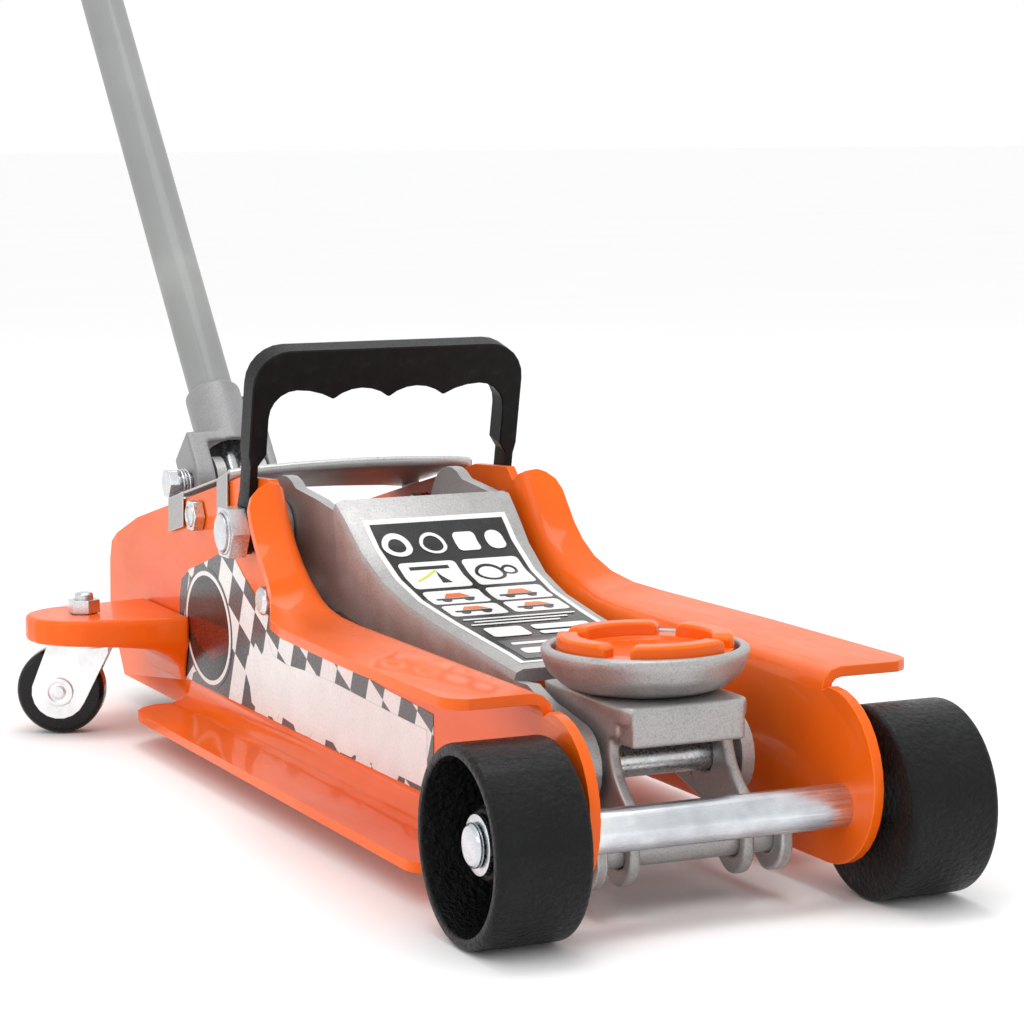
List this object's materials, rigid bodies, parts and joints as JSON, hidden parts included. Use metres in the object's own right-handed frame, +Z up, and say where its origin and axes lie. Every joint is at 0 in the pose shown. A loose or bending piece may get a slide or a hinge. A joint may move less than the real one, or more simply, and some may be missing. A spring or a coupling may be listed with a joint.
{
  "type": "trolley jack",
  "caption": "Low-profile hydraulic trolley jack: parallelogram lift arm, swivelling saddle, pump handle, carry handle, drum front wheels, swivel casters.",
  "frame": {"origin": "on the floor, under the middle of the whole jack's bounding box with the handle at rest", "axes": "+X across the jack to its right side as seen from the saddle end, -Y towards the saddle, +Y towards the handle, +Z up"},
  "size_m": [0.255, 0.961, 0.6074],
  "materials": {
    "orange_enamel": "glossy orange enamel",
    "silver_enamel": "satin silver-grey enamel",
    "grey_tube_enamel": "satin light grey enamel",
    "zinc_plate": "bright zinc plate",
    "black_cast_iron": "glossy black paint over cast texture",
    "ground_steel": "ground steel",
    "black_plastic": "satin moulded plastic",
    "black_rubber": "matt rubber",
    "seal_rubber": "oil seal rubber"
  },
  "bodies": {
    "frame": {"side_plate_left": "orange_enamel", "side_plate_right": "orange_enamel", "front_axle": "zinc_plate", "front_washer_left": "zinc_plate", "front_washer_right": "zinc_plate", "caster_bracket_left": "orange_enamel", "caster_bracket_right": "orange_enamel", "arm_pivot_shaft": "zinc_plate", "pivot_nut_left": "zinc_plate", "pivot_nut_right": "zinc_plate", "pivot_bushing_left": "silver_enamel", "pivot_bushing_right": "silver_enamel", "rod_pin_left": "zinc_plate", "rod_pin_right": "zinc_plate", "pump_block": "silver_enamel", "reservoir_tube": "silver_enamel", "ram_cylinder": "ground_steel", "gland_nut": "ground_steel", "filler_plug": "black_rubber", "cover_plate": "silver_enamel", "cover_bolt_left": "zinc_plate", "cover_bolt_right": "zinc_plate", "socket_bolt_left": "zinc_plate", "socket_bolt_right": "zinc_plate", "handle_return_spring": "zinc_plate", "return_spring_left": "zinc_plate", "return_spring_right": "zinc_plate", "king_bolt_left": "zinc_plate", "king_bolt_right": "zinc_plate"},
    "lift_arm": {"lift_arm": "silver_enamel", "ram_pin": "zinc_plate", "saddle_pin": "zinc_plate"},
    "saddle_bracket": {"saddle_bracket": "silver_enamel", "bracket_shaft": "silver_enamel"},
    "saddle": {"saddle_cup": "silver_enamel", "saddle_pad": "orange_enamel"},
    "radius_rod_left": {"radius_rod_left": "silver_enamel"},
    "radius_rod_right": {"radius_rod_right": "silver_enamel"},
    "ram": {"ram": "ground_steel", "piston_seal": "seal_rubber", "crosshead": "ground_steel"},
    "pump_plunger": {"pump_plunger": "ground_steel"},
    "handle_socket": {"handle_socket": "silver_enamel", "clamp_screw": "zinc_plate"},
    "pump_handle": {"handle_tube": "grey_tube_enamel", "handle_grip": "black_rubber", "valve_joint": "ground_steel"},
    "release_valve": {"release_valve": "ground_steel"},
    "carry_handle": {"carry_handle": "black_plastic"},
    "front_wheel_left": {"front_wheel_left": "black_cast_iron"},
    "caster_fork_left": {"caster_fork_left": "zinc_plate", "caster_axle_left": "zinc_plate"},
    "caster_wheel_left": {"caster_wheel_left": "black_rubber"},
    "front_wheel_right": {"front_wheel_right": "black_cast_iron"},
    "caster_fork_right": {"caster_fork_right": "zinc_plate", "caster_axle_right": "zinc_plate"},
    "caster_wheel_right": {"caster_wheel_right": "black_rubber"}
  },
  "joints": [
    {"name": "arm_lift", "type": "hinge", "parent": "frame", "child": "lift_arm", "pos_m": [0, -0.13349, 0.104], "axis": [-1, 0, 0], "range_deg": [0, 54]},
    {"name": "saddle_level", "type": "hinge", "parent": "lift_arm", "child": "saddle_bracket", "pos_m": [0, -0.40249, 0.049], "axis": [1, 0, 0], "range_deg": [0, 54]},
    {"name": "saddle_swivel", "type": "hinge", "parent": "saddle_bracket", "child": "saddle", "pos_m": [0, -0.39549, 0.0737], "axis": [0, 0, 1], "continuous": true},
    {"name": "rod_left_pivot", "type": "hinge", "parent": "frame", "child": "radius_rod_left", "pos_m": [-0.046, -0.15349, 0.0765], "axis": [-1, 0, 0], "range_deg": [0, 54]},
    {"name": "rod_right_pivot", "type": "hinge", "parent": "frame", "child": "radius_rod_right", "pos_m": [0.046, -0.15349, 0.0765], "axis": [-1, 0, 0], "range_deg": [0, 54]},
    {"name": "ram_slide", "type": "slide", "parent": "frame", "child": "ram", "axis": [0, -1, 0], "range_m": [0, 0.0528], "deforming": ["return_spring_left", "return_spring_right"]},
    {"name": "handle_pump", "type": "hinge", "parent": "frame", "child": "handle_socket", "pos_m": [0, 0.04851, 0.105], "axis": [1, 0, 0], "range_deg": [-25, 20], "stiffness_Nm_per_rad": 6, "springref_deg": 11.46, "deforming": ["handle_return_spring"]},
    {"name": "plunger_slide", "type": "slide", "parent": "frame", "child": "pump_plunger", "axis": [0, 1, 0], "range_m": [-0.0097, 0.0078]},
    {"name": "handle_twist", "type": "hinge", "parent": "handle_socket", "child": "pump_handle", "pos_m": [0, 0.04851, 0.105], "axis": [0, 0.6494, 0.7604], "range_deg": [0, 180]},
    {"name": "valve_turn", "type": "hinge", "parent": "frame", "child": "release_valve", "pos_m": [0, 0.04851, 0.105], "axis": [0, 0.6494, 0.7604], "range_deg": [0, 180]},
    {"name": "carry_handle_swing", "type": "hinge", "parent": "frame", "child": "carry_handle", "pos_m": [0, -0.13349, 0.104], "axis": [-1, 0, 0], "range_deg": [-11, 43]},
    {"name": "front_wheel_left_spin", "type": "hinge", "parent": "frame", "child": "front_wheel_left", "pos_m": [-0.07865, -0.44549, 0.035], "axis": [1, 0, 0], "continuous": true},
    {"name": "front_wheel_right_spin", "type": "hinge", "parent": "frame", "child": "front_wheel_right", "pos_m": [0.07865, -0.44549, 0.035], "axis": [1, 0, 0], "continuous": true},
    {"name": "caster_left_swivel", "type": "hinge", "parent": "frame", "child": "caster_fork_left", "pos_m": [-0.097, -0.01549, 0.045], "axis": [0, 0, 1], "continuous": true},
    {"name": "caster_left_spin", "type": "hinge", "parent": "caster_fork_left", "child": "caster_wheel_left", "pos_m": [-0.10702, -0.01096, 0.02], "axis": [0.4115, 0.9114, 0], "continuous": true},
    {"name": "caster_right_swivel", "type": "hinge", "parent": "frame", "child": "caster_fork_right", "pos_m": [0.097, -0.01549, 0.045], "axis": [0, 0, 1], "continuous": true},
    {"name": "caster_right_spin", "type": "hinge", "parent": "caster_fork_right", "child": "caster_wheel_right", "pos_m": [0.10702, -0.01096, 0.02], "axis": [0.4115, -0.9114, 0], "continuous": true}
  ],
  "couplings": [
    {"joint": "saddle_level", "follows": "arm_lift", "ratio": 1},
    {"joint": "rod_left_pivot", "follows": "arm_lift", "ratio": 1},
    {"joint": "rod_right_pivot", "follows": "arm_lift", "ratio": 1},
    {"joint": "ram_slide", "follows": "arm_lift", "m_per_rad": 0.055877},
    {"joint": "plunger_slide", "follows": "handle_pump", "m_per_rad": 0.0215},
    {"joint": "valve_turn", "follows": "handle_twist", "ratio": 1}
  ]
}
